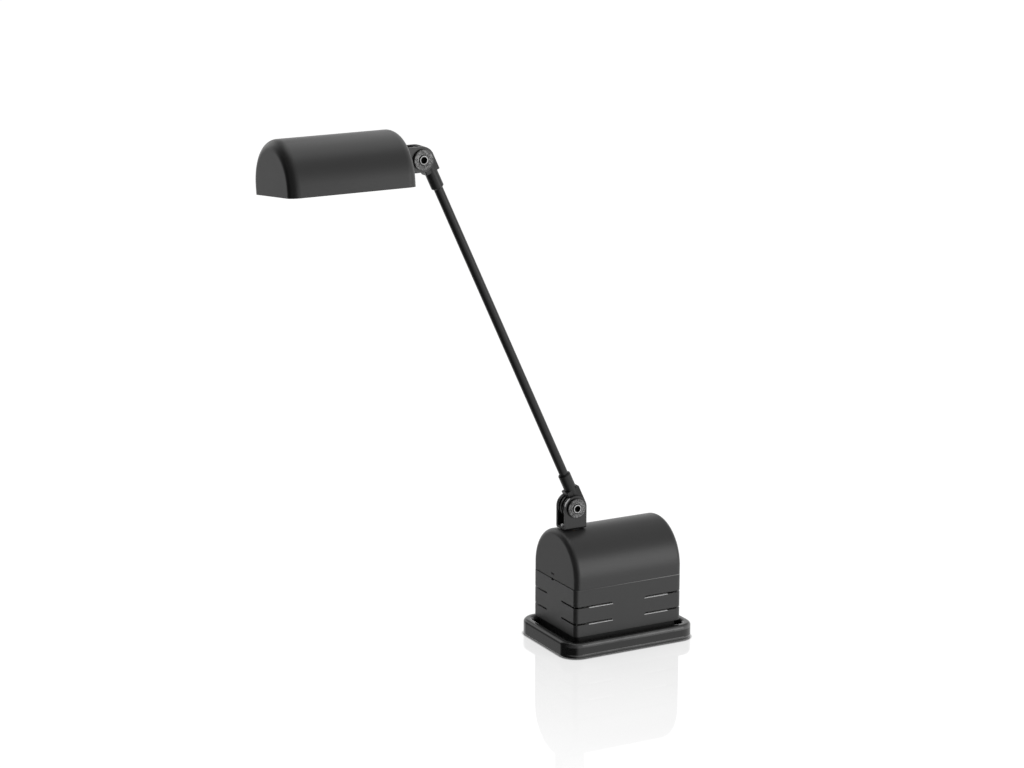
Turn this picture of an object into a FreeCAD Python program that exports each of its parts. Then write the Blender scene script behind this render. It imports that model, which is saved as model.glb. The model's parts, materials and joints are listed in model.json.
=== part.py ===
import FreeCAD, Part
import math
import os

# Desk lamp on a transformer base: a swivelling arm carries a barrel-vaulted head.
# Millimetres, +Z up. The origin is the centre of the base's underside, on the table.
# +X runs along the base towards its switch end, and the arm leans towards -X at rest.

# Tray that the lamp stands in: a rim round a recess that is a little larger than the housing
tray_end_gap = 2.9
tray_side_gap = 1.1
tray_corner = 14.7
tray_top = 13.5
tray_lift = 0.4
tray_rim = 7.8
tray_rim_round = 3.0
tray_foot_round = 0.9
tray_floor_top = 6.0

# Anti-slip pad let into the tray's underside
pad_thickness = 1.6
pad_inset = 4.0
pad_clearance = 0.2

# Lower housing with its cooling slots
housing_length = 102.6
housing_width = 71.2
housing_corner = 4.0
housing_wall = 2.0
housing_bottom = 16.0
housing_top = 56.3
flange_width = 11.0
flange_thickness = 2.0
slot_height = 1.4
slot_levels = (26.9, 41.3)
slot_start_long = 16.2
slot_start_end = 12.5
lip_end_wall = 0.9
lip_side_wall = 2.2
lip_root = 3.0
lip_rise = 2.6
pry_notch_width = 4.2
pry_notch_depth = 1.1

# Plinth between tray and housing
plinth_inset = 3.0
plinth_corner = 4.0
plinth_inner_corner = 2.5
plinth_wall = 3.0
plinth_boss_radius = 4.6

# Chassis plate inside the housing
chassis_thickness = 2.0
chassis_clearance = 0.3

# Screws that hold tray, plinth, housing and chassis together
base_screw_radius = 2.0
base_screw_head_radius = 3.8
base_screw_head_height = 2.2
base_screw_socket_across = 3.0
base_screw_socket_depth = 1.1
base_nut_across = 7.0
base_nut_height = 3.2

# Barrel-vaulted top cover: set in at the housing's ends and standing proud of its sides
seam_gap = 0.4
cover_end_step = 0.4
cover_side_overhang = 0.9
cover_height = 43.0
cover_end_round = 4.5
cover_wall = 1.6
latch_offset = 3.0
latch_slot_width = 5.0
latch_slot_height = 1.8
latch_slot_rise = 3.2
latch_thickness = 1.0
latch_width = 8.0
latch_switch_gap = 0.1
latch_clearance = 0.2
latch_recess = 0.3

# Stem bracket that takes the arm's load down to the chassis
bracket_width = 16.0
bracket_thickness = 2.0
bracket_core_gap = 1.0
bracket_depth_below_ridge = 11.3
bracket_foot = 9.0
bracket_foot_width = 7.0
small_screw_radius = 1.5
small_screw_head_radius = 2.8
small_screw_head_height = 1.8
small_screw_socket_across = 2.25
small_screw_socket_depth = 0.9

# Transformer of a fifty-watt low-voltage lamp
core_stack = 35.0
core_limb_count = 6
core_headroom = 2.0
core_switch_gap = 1.2
bobbin_wall = 1.2
bobbin_clearance = 0.3
bobbin_flange = 1.4
winding_bulge = 7.0
winding_corner = 3.5
clamp_thickness = 1.2
clamp_foot = 9.0
clamp_width = 20.0

# Terminal block, fuse and its holder
block_length = 10.0
block_height = 13.0
block_screw_radius = 1.6
block_screw_depth = 6.5
block_slit_half_width = 0.3
block_slit_depth = 0.8
block_bore_radius = 1.3
block_bore_level = 4.3
holder_height = 27.0
fuse_radius = 2.6
fuse_length = 20.0
fuse_cap_length = 5.0
wiring_switch_gap = 1.5
wiring_nut_gap = 1.5

# Rocker switch in the end wall
switch_level = 43.0
switch_bezel_width = 21.4
switch_bezel_height = 15.4
switch_bezel_thickness = 1.5
switch_bezel_round = 0.5
switch_body_width = 19.0
switch_body_height = 12.8
switch_body_depth = 11.3
switch_cavity_depth = 9.0
switch_blade_length = 4.6
switch_blade_width = 4.0
switch_blade_thickness = 0.8
switch_blade_pitch = 7.0
rocker_half_length = 6.6
rocker_half_width = 5.1
rocker_rise = 6.0
rocker_valley = 4.4
rocker_keel = 1.6
rocker_pin_radius = 1.0
rocker_pin_length = 0.8
rocker_side_clearance = 0.3
rocker_end_clearance = 1.1
rocker_tilt = 10.0

# Cord gland in the end wall
gland_chassis_gap = 0.6
gland_bore_radius = 3.3
gland_neck_radius = 5.0
gland_flange_radius = 6.4
gland_flange_thickness = 1.8
gland_flange_round = 0.9

# Fork used at both ends of the arm
fork_gap = 11.0
fork_sheet = 2.0
fork_half_width = 10.2
fork_bend = 1.6
lead_hole_radius = 1.1
lead_hole_side = 1.8
terminal_head_radius = 1.4
terminal_collar = 0.8

# Swivel joint under each fork
stud_radius = 4.0
stud_head_gap = 0.5
stud_knuckle_gap = 2.9
stud_head_height = 3.0
stud_socket_across = 5.0
stud_socket_depth = 1.3
swivel_washer_radius = 7.6
swivel_washer_thickness = 0.35
swivel_nut_across = 13.0
swivel_nut_height = 5.0
spring_washer_thickness = 1.4
spring_washer_radius = 7.0
bush_wall = 1.6
bush_step = 0.8

# Pivot joint through each fork
pivot_screw_radius = 2.5
pivot_head_radius = 3.7
pivot_head_height = 1.9
pivot_head_sink = 1.2
pivot_head_clearance = 0.5
pivot_head_round = 0.4
pivot_socket_across = 4.2
pivot_socket_depth = 1.6
pivot_disc_radius = 8.2
pivot_disc_thickness = 2.2
pivot_disc_chamfer = 0.5
pivot_nut_across = 8.0
pivot_nut_height = 4.0
pivot_thread_end = 0.8
pivot_bush_wall = 1.5
friction_washer_thickness = 0.5
friction_washer_radius = 8.6

# Arm with its offset knuckles
arm_pitch = 332.7
arm_lean = 24.86
arm_offset = 5.2
arm_tube_radius = 3.75
arm_tube_wall = 1.0
arm_insertion = 13.0
conductor_radius = 1.2
conductor_jacket_wall = 0.5
conductor_end = 3.0
knuckle_eye_radius = 10.3
eye_groove_width = 2.9
eye_groove_depth = 1.5
eye_groove_count = 2
knuckle_rear = 11.4
knuckle_front = 1.1
knuckle_shoulder = 14.5
knuckle_edge_round = 0.6
sleeve_fork_gap = 0.3
sleeve_end_chamfer = 0.9
sleeve_washer_gap = 1.0
sleeve_length = 29.3

# Head at rest
lower_pivot_inset = 16.0
head_nose_down = 0.5
head_roll = -5.9

# Shade, the twin of the base's cover
shade_length = 106.8
shade_width = 73.8
shade_height = 43.4
shade_below_pivot = 18.7
shade_end_round = 8.0
shade_wall = 1.2

# Lamp carrier inside the shade
carrier_thickness = 1.5
carrier_plate_width = 27.0
carrier_plate_drop = 15.5
carrier_leg_width = 22.0
carrier_leg_level = 11.0
carrier_screw_offset = 10.6
carrier_screw_drop = 12.0
carrier_screw_head_height = 0.9
lamp_holder_length = 13.0
lamp_holder_width = 17.0
lamp_holder_height = 13.0
lamp_holder_round = 1.0
holder_screw_depth = 3.0
capsule_radius = 5.8
capsule_length = 36.0
capsule_neck_length = 5.0
capsule_tip_radius = 1.4
capsule_pinch_thickness = 3.0
capsule_pinch_width = 9.3
capsule_pinch_overlap = 1.0
capsule_nose_round = 4.0
capsule_seat_gap = 0.5
capsule_drop = 7.0
pin_radius = 0.6
pin_length = 7.0
pin_pitch = 6.35
pin_clearance = 0.1

# Reflector and the plate that closes the wiring space
reflector_air_gap = 2.6
reflector_sheet = 0.6
reflector_mouth_recess = 1.2
reflector_end_gap = 2.4
reflector_window_radius = 8.2
closing_plate_thickness = 1.2
closing_plate_gap = 0.4

# Fits
running_fit = 0.05
seat_gap = 0.3
cut_margin = 1.0
same_place = 0.0001

X_AXIS = FreeCAD.Vector(1, 0, 0)
Y_AXIS = FreeCAD.Vector(0, 1, 0)
Z_AXIS = FreeCAD.Vector(0, 0, 1)
ORIGIN = FreeCAD.Vector(0, 0, 0)

# Sizes of the fork, knuckle and swivel that follow from each other
fork_outer = fork_gap / 2 + fork_sheet
fork_reach = knuckle_eye_radius + stud_knuckle_gap + stud_head_height + fork_sheet
pivot_to_wall = fork_reach + swivel_washer_thickness + running_fit
knuckle_width = fork_gap - 2 * (friction_washer_thickness + running_fit)
sleeve_radius = fork_gap / 2 - sleeve_fork_gap
stud_head_radius = fork_gap / 2 - stud_head_gap
bush_radius = stud_radius + running_fit + bush_wall

# Places that follow from the sizes
housing_end = housing_length / 2
cover_length = housing_length - 2 * cover_end_step
cover_width = housing_width + 2 * cover_side_overhang
recess_length = housing_length + 2 * tray_end_gap
recess_width = housing_width + 2 * tray_side_gap
tray_length = recess_length + 2 * tray_rim
tray_width = recess_width + 2 * tray_rim
seam_level = housing_top + seam_gap
ridge_level = seam_level + cover_height
lower_pivot_x = lower_pivot_inset - housing_end
lower_pivot = FreeCAD.Vector(lower_pivot_x, 0, ridge_level + pivot_to_wall)
lean = math.radians(arm_lean)
upper_pivot = lower_pivot + FreeCAD.Vector(-math.sin(lean), 0, math.cos(lean)) * arm_pitch
chassis_bottom = housing_bottom + flange_thickness
chassis_top = chassis_bottom + chassis_thickness
base_screw_x = housing_end - plinth_inset - plinth_boss_radius
base_screw_y = housing_width / 2 - plinth_inset - plinth_boss_radius
lip_inner_x = cover_length / 2 - cover_wall - seat_gap - lip_end_wall
lip_inner_y = cover_width / 2 - cover_wall - seat_gap - lip_side_wall


def box(x0, x1, y0, y1, z0, z1):
    return Part.makeBox(x1 - x0, y1 - y0, z1 - z0, FreeCAD.Vector(x0, y0, z0))


def rod(radius, start, axis, length):
    return Part.makeCylinder(radius, length, start, axis)


def tube(outer, inner, start, axis, length):
    return rod(outer, start, axis, length).cut(rod(inner, start, axis, length))


def hexagon(across, start, axis, length):
    sides = 6
    corner = across / math.sqrt(3)
    turn = FreeCAD.Rotation(Z_AXIS, axis)
    points = []
    for step in range(sides + 1):
        angle = 2 * math.pi * step / sides
        flat = FreeCAD.Vector(corner * math.cos(angle), corner * math.sin(angle), 0)
        points.append(start + turn.multVec(flat))
    return Part.Face(Part.makePolygon(points)).extrude(axis * length)


def edges_within(shape, axis, low, high):
    """Edges that lie wholly between two places along X, Y or Z."""
    found = []
    for edge in shape.Edges:
        start = getattr(edge.BoundBox, axis + "Min")
        end = getattr(edge.BoundBox, axis + "Max")
        if start > low - same_place and end < high + same_place:
            found.append(edge)
    return found


def edges_at(shape, axis, place):
    return edges_within(shape, axis, place, place)


def edges_along(shape, axis, length):
    return [e for e in shape.Edges if getattr(e.BoundBox, axis + "Length") > length - same_place]


def slab(length, width, corner, z0, z1):
    block = box(-length / 2, length / 2, -width / 2, width / 2, z0, z1)
    return block.makeFillet(corner, edges_along(block, "Z", z1 - z0))


def fused(shapes):
    return shapes[0].multiFuse(shapes[1:]).removeSplitter()


def four_corners(x, y):
    return [(sx * x, sy * y) for sx in (-1, 1) for sy in (-1, 1)]


def vault(length, width, height, end_round, x_start, z_start):
    """Solid barrel vault along X with upright sides and rounded end edges."""
    radius = width / 2
    spring = z_start + height - radius
    left_foot = FreeCAD.Vector(x_start, -radius, z_start)
    left_spring = FreeCAD.Vector(x_start, -radius, spring)
    crown = FreeCAD.Vector(x_start, 0, spring + radius)
    right_spring = FreeCAD.Vector(x_start, radius, spring)
    right_foot = FreeCAD.Vector(x_start, radius, z_start)
    outline = Part.Wire([
        Part.makeLine(left_foot, left_spring),
        Part.Arc(left_spring, crown, right_spring).toShape(),
        Part.makeLine(right_spring, right_foot),
        Part.makeLine(right_foot, left_foot),
    ])
    solid = Part.Face(outline).extrude(X_AXIS * length)
    end_edges = edges_at(solid, "X", x_start) + edges_at(solid, "X", x_start + length)
    rounded = [e for e in end_edges if e.BoundBox.ZMax > z_start + same_place]
    return solid.makeFillet(end_round, rounded)


def vault_shell(length, width, height, end_round, wall, x_start, z_start):
    outside = vault(length, width, height, end_round, x_start, z_start)
    inside = vault(length - 2 * wall, width - 2 * wall, height - wall + cut_margin,
                   end_round - wall, x_start + wall, z_start - cut_margin)
    return outside.cut(inside)


def at_lower_pivot(shape):
    moved = shape.copy()
    moved.translate(lower_pivot)
    return moved


def on_arm(shape):
    """From the arm's own frame, upright with its rear towards +X, to the rest pose."""
    moved = shape.copy()
    moved.rotate(ORIGIN, Y_AXIS, -arm_lean)
    moved.translate(lower_pivot)
    return moved


def arm_top(shape):
    """Turn a knuckle for the arm's foot over, so that it caps the arm's top."""
    moved = shape.copy()
    moved.rotate(ORIGIN, X_AXIS, 180)
    moved.translate(Z_AXIS * arm_pitch)
    return moved


def on_head_fork(shape):
    """From a level fork frame at the upper pivot to the rest pose."""
    moved = shape.copy()
    moved.rotate(ORIGIN, Y_AXIS, -head_nose_down)
    moved.translate(upper_pivot)
    return moved


def fork_towards_head(shape):
    """A fork is drawn with its floor below the pivot; the head's fork faces -X."""
    moved = shape.copy()
    moved.rotate(ORIGIN, Y_AXIS, 90)
    return on_head_fork(moved)


def on_head(shape):
    """From the level, unrolled head frame at the upper pivot to the rest pose."""
    moved = shape.copy()
    moved.rotate(ORIGIN, X_AXIS, head_roll)
    return on_head_fork(moved)


def swivel_on_head(shape):
    moved = shape.copy()
    moved.rotate(ORIGIN, Y_AXIS, 90)
    return on_head(moved)


def save(name, *shapes):
    whole = shapes[0] if len(shapes) == 1 else Part.makeCompound(list(shapes))
    whole.exportStep("parts/" + name + ".step")


os.makedirs("parts", exist_ok=True)


# Tray and pad
def base_tray():
    tray = slab(tray_length, tray_width, tray_corner, tray_lift, tray_top)
    tray = tray.cut(slab(recess_length, recess_width, tray_corner - tray_rim,
                         tray_floor_top, tray_top + cut_margin))
    tray = tray.makeFillet(tray_rim_round, edges_at(tray, "Z", tray_top))
    tray = tray.makeFillet(tray_foot_round, edges_at(tray, "Z", tray_lift))
    tray = tray.cut(slab(tray_length - 2 * pad_inset, tray_width - 2 * pad_inset,
                         tray_corner - pad_inset, tray_lift - cut_margin, pad_thickness))
    for x, y in four_corners(base_screw_x, base_screw_y):
        foot = FreeCAD.Vector(x, y, pad_thickness)
        tray = tray.cut(rod(base_screw_head_radius + running_fit, foot, Z_AXIS, base_screw_head_height))
        tray = tray.cut(rod(base_screw_radius + running_fit, foot, Z_AXIS, tray_floor_top))
    return tray


def anti_slip_pad():
    inset = pad_inset + pad_clearance
    return slab(tray_length - 2 * inset, tray_width - 2 * inset, tray_corner - inset, 0, pad_thickness)


def plinth():
    outer_length = housing_length - 2 * plinth_inset
    outer_width = housing_width - 2 * plinth_inset
    outer = slab(outer_length, outer_width, plinth_corner, tray_floor_top, housing_bottom)
    inner = slab(outer_length - 2 * plinth_wall, outer_width - 2 * plinth_wall,
                 plinth_inner_corner, tray_floor_top, housing_bottom)
    ring = outer.cut(inner)
    height = housing_bottom - tray_floor_top
    bosses = []
    for x, y in four_corners(base_screw_x, base_screw_y):
        bosses.append(rod(plinth_boss_radius, FreeCAD.Vector(x, y, tray_floor_top), Z_AXIS, height))
    whole = fused([ring] + bosses).common(outer)
    for x, y in four_corners(base_screw_x, base_screw_y):
        hole = FreeCAD.Vector(x, y, tray_floor_top)
        whole = whole.cut(rod(base_screw_radius + running_fit, hole, Z_AXIS, height))
    return whole


# Lower housing
def cooling_slots():
    reach_x = housing_end + cut_margin
    reach_y = housing_width / 2 + cut_margin
    cutters = []
    for level in slot_levels:
        low = level - slot_height / 2
        for sx, sy in four_corners(1, 1):
            xs = sorted((sx * slot_start_long, sx * reach_x))
            ys = sorted((sy * slot_start_end, sy * reach_y))
            cutters.append(box(xs[0], xs[1], ys[0], ys[1], low, low + slot_height))
    return Part.makeCompound(cutters)


def lower_housing():
    inner_length = housing_length - 2 * housing_wall
    inner_width = housing_width - 2 * housing_wall
    inner_corner = housing_corner - housing_wall
    walls = slab(housing_length, housing_width, housing_corner, housing_bottom, housing_top)
    walls = walls.cut(slab(inner_length, inner_width, inner_corner, chassis_bottom, housing_top))
    walls = walls.cut(slab(housing_length - 2 * flange_width, housing_width - 2 * flange_width,
                           inner_corner, housing_bottom, chassis_bottom))
    lip_length = cover_length - 2 * cover_wall - 2 * seat_gap
    lip_width = cover_width - 2 * cover_wall - 2 * seat_gap
    lip_corner = cover_end_round - cover_wall
    lip = slab(lip_length, lip_width, lip_corner, housing_top, housing_top + lip_rise)
    root = slab(housing_length - housing_wall, housing_width - housing_wall, inner_corner,
                housing_top - lip_root, housing_top)
    opening = slab(2 * lip_inner_x, 2 * lip_inner_y, inner_corner,
                   housing_top - lip_root, housing_top + lip_rise)
    whole = fused([walls, root.cut(opening), lip.cut(opening)])
    whole = whole.cut(cooling_slots())
    half = pry_notch_width / 2
    for side in (-1, 1):
        middle = -side * latch_offset
        xs = sorted((side * (housing_end - housing_wall), side * (housing_end + cut_margin)))
        whole = whole.cut(box(xs[0], xs[1], middle - half, middle + half,
                              housing_top - pry_notch_depth, housing_top + seam_gap))
    inner_face = housing_end - housing_wall
    window = box(lip_inner_x - cut_margin, housing_end + cut_margin,
                 -switch_body_width / 2 - running_fit, switch_body_width / 2 + running_fit,
                 switch_level - switch_body_height / 2 - running_fit,
                 switch_level + switch_body_height / 2 + running_fit)
    whole = whole.cut(window)
    inlet = FreeCAD.Vector(inner_face - cut_margin, 0, gland_level)
    whole = whole.cut(rod(gland_neck_radius + running_fit, inlet, X_AXIS, housing_wall + 2 * cut_margin))
    for x, y in four_corners(base_screw_x, base_screw_y):
        hole = FreeCAD.Vector(x, y, housing_bottom)
        whole = whole.cut(rod(base_screw_radius + running_fit, hole, Z_AXIS, flange_thickness))
    return whole


# Swivel stack under a fork: how deep its washer, spring, nut and end lie below the pivot
def swivel_depths(grip):
    wall_face = -pivot_to_wall
    washer_face = wall_face - grip
    spring_face = washer_face - swivel_washer_thickness
    nut_face = spring_face - spring_washer_thickness
    return spring_face, nut_face, nut_face - swivel_nut_height


# Sizes and places of the pieces that stand on the chassis
base_grip = bracket_depth_below_ridge + bracket_thickness
swivel_end_level = lower_pivot.z + swivel_depths(base_grip)[2]
core_half_length = housing_end - switch_body_depth - switch_blade_length - core_switch_gap - clamp_thickness
core_bottom = chassis_top + clamp_thickness
core_top = swivel_end_level - core_headroom - clamp_thickness
core_limb = 2 * core_half_length / core_limb_count
window_low = core_bottom + core_limb
window_high = core_top - core_limb
clamp_screw_x = core_half_length + clamp_thickness + clamp_foot / 2
bracket_half_span = core_stack / 2 + bracket_core_gap + bracket_thickness
bracket_screw_y = bracket_half_span + bracket_foot / 2
bracket_top = ridge_level - bracket_depth_below_ridge
wiring_x = housing_end - housing_wall - seat_gap - block_length
wiring_inside_y = switch_body_width / 2 + wiring_switch_gap
wiring_outside_y = base_screw_y - base_nut_across / 2 - wiring_nut_gap
wiring_middle_y = (wiring_inside_y + wiring_outside_y) / 2
block_screw_pitch = (wiring_outside_y - wiring_inside_y) / 2
gland_level = chassis_top + gland_flange_radius + gland_chassis_gap


def chassis_plate():
    length = housing_length - 2 * housing_wall - 2 * chassis_clearance
    width = housing_width - 2 * housing_wall - 2 * chassis_clearance
    plate = slab(length, width, housing_corner - housing_wall, chassis_bottom, chassis_top)
    holes = [(x, y, base_screw_radius) for x, y in four_corners(base_screw_x, base_screw_y)]
    holes += [(side * clamp_screw_x, 0, small_screw_radius) for side in (-1, 1)]
    holes += [(lower_pivot_x, side * bracket_screw_y, small_screw_radius) for side in (-1, 1)]
    for x, y, radius in holes:
        hole = FreeCAD.Vector(x, y, chassis_bottom)
        plate = plate.cut(rod(radius + running_fit, hole, Z_AXIS, chassis_thickness))
    return plate


def base_screws():
    screws = []
    for x, y in four_corners(base_screw_x, base_screw_y):
        foot = FreeCAD.Vector(x, y, pad_thickness)
        head = rod(base_screw_head_radius, foot, Z_AXIS, base_screw_head_height)
        head = head.cut(hexagon(base_screw_socket_across, foot, Z_AXIS, base_screw_socket_depth))
        shank_foot = foot + Z_AXIS * base_screw_socket_depth
        shank = rod(base_screw_radius, shank_foot, Z_AXIS, chassis_top + base_nut_height - shank_foot.z)
        screws.append(fused([head, shank]))
    return screws


def base_nuts():
    nuts = []
    for x, y in four_corners(base_screw_x, base_screw_y):
        foot = FreeCAD.Vector(x, y, chassis_top)
        nut = hexagon(base_nut_across, foot, Z_AXIS, base_nut_height)
        nuts.append(nut.cut(rod(base_screw_radius + running_fit, foot, Z_AXIS, base_nut_height)))
    return nuts


# Top cover and its latches
def latch_window(side, clearance):
    middle = -side * latch_offset
    low = seam_level + latch_slot_rise
    high = low + latch_slot_height
    cover_end = cover_length / 2
    xs = sorted((side * (cover_end - cover_wall - cut_margin), side * (cover_end + cut_margin)))
    half = latch_slot_width / 2 - clearance
    return box(xs[0], xs[1], middle - half, middle + half, low + clearance, high - clearance)


def top_cover():
    cover = vault_shell(cover_length, cover_width, cover_height, cover_end_round, cover_wall,
                        -cover_length / 2, seam_level)
    hole = FreeCAD.Vector(lower_pivot_x, 0, bracket_top)
    cover = cover.cut(rod(bush_radius + running_fit, hole, Z_AXIS, bracket_depth_below_ridge + cut_margin))
    for side in (-1, 1):
        cover = cover.cut(latch_window(side, 0))
    return cover


def cover_latches():
    latches = []
    hook_top = seam_level + latch_slot_rise + latch_slot_height - latch_clearance
    blade_foot = switch_level + switch_body_height / 2 + latch_switch_gap
    for side in (-1, 1):
        middle = -side * latch_offset
        xs = sorted((side * (lip_inner_x - latch_thickness), side * lip_inner_x))
        blade = box(xs[0], xs[1], middle - latch_width / 2, middle + latch_width / 2,
                    blade_foot, hook_top)
        hook_x = sorted((side * (lip_inner_x - latch_thickness), side * (cover_length / 2 - latch_recess)))
        half = latch_slot_width / 2 - latch_clearance
        hook = box(hook_x[0], hook_x[1], middle - half, middle + half,
                   seam_level + latch_slot_rise + latch_clearance, hook_top)
        latches.append(fused([blade, hook]))
    return latches


# Stem bracket and its screws
def stem_bracket():
    x0 = lower_pivot_x - bracket_width / 2
    x1 = lower_pivot_x + bracket_width / 2
    foot_x0 = lower_pivot_x - bracket_foot_width / 2
    foot_x1 = lower_pivot_x + bracket_foot_width / 2
    foot_top = chassis_top + bracket_thickness
    leg_inside = bracket_half_span - bracket_thickness
    pieces = [box(x0, x1, -bracket_half_span, bracket_half_span,
                  bracket_top - bracket_thickness, bracket_top)]
    for side in (-1, 1):
        leg = sorted((side * leg_inside, side * bracket_half_span))
        foot = sorted((side * leg_inside, side * (bracket_half_span + bracket_foot)))
        pieces.append(box(x0, x1, leg[0], leg[1], chassis_top, bracket_top))
        pieces.append(box(foot_x0, foot_x1, foot[0], foot[1], chassis_top, foot_top))
    whole = fused(pieces)
    top_hole = FreeCAD.Vector(lower_pivot_x, 0, bracket_top - bracket_thickness)
    whole = whole.cut(rod(bush_radius - bush_step + running_fit, top_hole, Z_AXIS, bracket_thickness))
    for side in (-1, 1):
        hole = FreeCAD.Vector(lower_pivot_x, side * bracket_screw_y, chassis_top)
        whole = whole.cut(rod(small_screw_radius + running_fit, hole, Z_AXIS, bracket_thickness))
    return whole


def small_screw(x, y, seat, foot):
    """Socket screw whose head rests on a level seat and whose shank ends at the foot."""
    head = rod(small_screw_head_radius, FreeCAD.Vector(x, y, seat), Z_AXIS, small_screw_head_height)
    socket_foot = FreeCAD.Vector(x, y, seat + small_screw_head_height - small_screw_socket_depth)
    head = head.cut(hexagon(small_screw_socket_across, socket_foot, Z_AXIS, small_screw_socket_depth))
    shank = rod(small_screw_radius, FreeCAD.Vector(x, y, foot), Z_AXIS, seat - foot)
    return fused([head, shank])


def chassis_screws():
    """Four alike screws: two through the bracket's feet and two through the clamp's feet."""
    bracket_seat = chassis_top + bracket_thickness
    clamp_seat = chassis_top + clamp_thickness
    screws = []
    for side in (-1, 1):
        screws.append(small_screw(lower_pivot_x, side * bracket_screw_y, bracket_seat, chassis_bottom))
        screws.append(small_screw(side * clamp_screw_x, 0, clamp_seat, chassis_bottom))
    return screws


# Transformer
winding_inner = core_limb + bobbin_clearance + bobbin_wall
winding_outer = 2 * core_limb - bobbin_clearance


def transformer_core():
    half = core_stack / 2
    core = box(-core_half_length, core_half_length, -half, half, core_bottom, core_top)
    for side in (-1, 1):
        xs = sorted((side * core_limb, side * 2 * core_limb))
        core = core.cut(box(xs[0], xs[1], -half, half, window_low, window_high))
    return core


def transformer_bobbin():
    low = window_low + bobbin_clearance
    high = window_high - bobbin_clearance
    hole_x = core_limb + bobbin_clearance
    hole_y = core_stack / 2 + bobbin_clearance
    wall_x = hole_x + bobbin_wall
    wall_y = hole_y + bobbin_wall
    flange_y = wall_y + winding_bulge
    barrel = box(-wall_x, wall_x, -wall_y, wall_y, low, high)
    lower = box(-winding_outer, winding_outer, -flange_y, flange_y, low, low + bobbin_flange)
    upper = box(-winding_outer, winding_outer, -flange_y, flange_y, high - bobbin_flange, high)
    whole = fused([barrel, lower, upper])
    return whole.cut(box(-hole_x, hole_x, -hole_y, hole_y, low, high))


def transformer_winding():
    low = window_low + bobbin_clearance + bobbin_flange
    high = window_high - bobbin_clearance - bobbin_flange
    wall_y = core_stack / 2 + bobbin_clearance + bobbin_wall
    outer_x = winding_outer - bobbin_clearance
    outer_y = wall_y + winding_bulge - bobbin_clearance
    wound = slab(2 * outer_x, 2 * outer_y, winding_corner, low, high)
    return wound.cut(box(-winding_inner, winding_inner, -wall_y, wall_y, low, high))


def transformer_clamp():
    half_width = clamp_width / 2
    outer = core_half_length + clamp_thickness
    strap = box(-outer, outer, -half_width, half_width, chassis_top, core_top + clamp_thickness)
    inside = box(-core_half_length, core_half_length, -half_width, half_width, chassis_top, core_top)
    feet = box(-outer - clamp_foot, outer + clamp_foot, -half_width, half_width,
               chassis_top, chassis_top + clamp_thickness)
    whole = fused([strap.cut(inside), feet])
    for side in (-1, 1):
        hole = FreeCAD.Vector(side * clamp_screw_x, 0, chassis_top)
        whole = whole.cut(rod(small_screw_radius + running_fit, hole, Z_AXIS, clamp_thickness))
    return whole


# Terminal block, fuse holder and fuse
def wiring_block(side, height):
    ys = sorted((side * wiring_inside_y, side * wiring_outside_y))
    return box(wiring_x, wiring_x + block_length, ys[0], ys[1], chassis_top, chassis_top + height)


def terminal_block():
    block = wiring_block(1, block_height)
    middle_x = wiring_x + block_length / 2
    screw_foot = chassis_top + block_height - block_screw_depth
    for offset in (-block_screw_pitch / 2, block_screw_pitch / 2):
        well = FreeCAD.Vector(middle_x, wiring_middle_y + offset, screw_foot)
        block = block.cut(rod(block_screw_radius + running_fit, well, Z_AXIS, block_screw_depth))
        mouth = FreeCAD.Vector(wiring_x, wiring_middle_y + offset, chassis_top + block_bore_level)
        block = block.cut(rod(block_bore_radius, mouth, X_AXIS, block_length))
    return block


def terminal_screws():
    screws = []
    middle_x = wiring_x + block_length / 2
    low = chassis_top + block_height - block_screw_depth
    high = chassis_top + block_height - seat_gap
    for offset in (-block_screw_pitch / 2, block_screw_pitch / 2):
        y = wiring_middle_y + offset
        screw = rod(block_screw_radius, FreeCAD.Vector(middle_x, y, low), Z_AXIS, high - low)
        slit = box(middle_x - block_screw_radius, middle_x + block_screw_radius,
                   y - block_slit_half_width, y + block_slit_half_width, high - block_slit_depth, high)
        screws.append(screw.cut(slit))
    return screws


fuse_foot = FreeCAD.Vector(wiring_x + block_length / 2, -wiring_middle_y,
                           chassis_top + (holder_height - fuse_length) / 2)


def fuse_holder():
    holder = wiring_block(-1, holder_height)
    cavity = rod(fuse_radius + running_fit, fuse_foot, Z_AXIS, fuse_length)
    reach = fuse_radius + running_fit
    mouth = box(wiring_x, fuse_foot.x, fuse_foot.y - reach, fuse_foot.y + reach,
                fuse_foot.z, fuse_foot.z + fuse_length)
    return holder.cut(cavity).cut(mouth)


def fuse():
    glass = rod(fuse_radius - running_fit, fuse_foot, Z_AXIS, fuse_length)
    caps = []
    for start in (0, fuse_length - fuse_cap_length):
        caps.append(rod(fuse_radius, fuse_foot + Z_AXIS * start, Z_AXIS, fuse_cap_length))
    return fused([glass] + caps)


# Rocker switch
bezel_face = housing_end + switch_bezel_thickness
rocker_pivot = FreeCAD.Vector(bezel_face - rocker_valley, 0, switch_level)


def switch_body():
    bezel = box(housing_end, bezel_face, -switch_bezel_width / 2, switch_bezel_width / 2,
                switch_level - switch_bezel_height / 2, switch_level + switch_bezel_height / 2)
    bezel = bezel.makeFillet(switch_bezel_round, edges_at(bezel, "X", bezel_face))
    body = box(housing_end - switch_body_depth, housing_end, -switch_body_width / 2, switch_body_width / 2,
               switch_level - switch_body_height / 2, switch_level + switch_body_height / 2)
    half_y = rocker_half_length + rocker_end_clearance
    half_z = rocker_half_width + rocker_side_clearance
    cavity = box(housing_end - switch_cavity_depth, bezel_face, -half_y, half_y,
                 switch_level - half_z, switch_level + half_z)
    whole = fused([bezel, body]).cut(cavity)
    bearing_length = 2 * (half_z + rocker_pin_length)
    bearing_foot = FreeCAD.Vector(rocker_pivot.x, 0, switch_level - bearing_length / 2)
    return whole.cut(rod(rocker_pin_radius + running_fit, bearing_foot, Z_AXIS, bearing_length))


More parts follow.
